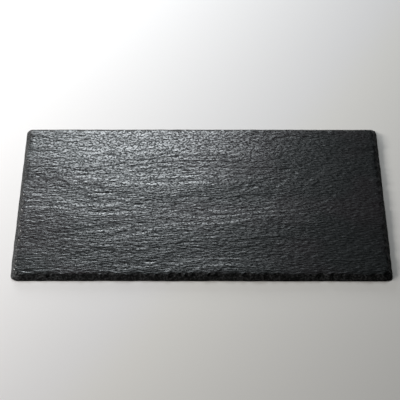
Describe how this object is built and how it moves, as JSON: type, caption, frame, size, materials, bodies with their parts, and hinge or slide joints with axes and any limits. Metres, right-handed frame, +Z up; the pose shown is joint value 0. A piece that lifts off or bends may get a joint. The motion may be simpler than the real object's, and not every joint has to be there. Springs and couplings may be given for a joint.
{
  "type": "slate slab",
  "caption": "Rectangular slab of riven slate with hand-dressed, outward-sloping edges, lying flat as a serving board or display base.",
  "frame": {"origin": "on the resting face, under the middle of the slab", "axes": "+X along the slab's length, +Y across its width towards the back, +Z up out of the riven top face"},
  "size_m": [0.2998, 0.1498, 0.005],
  "materials": {
    "slate": "matte"
  },
  "bodies": {
    "root": {"slab": "slate"}
  },
  "joints": []
}
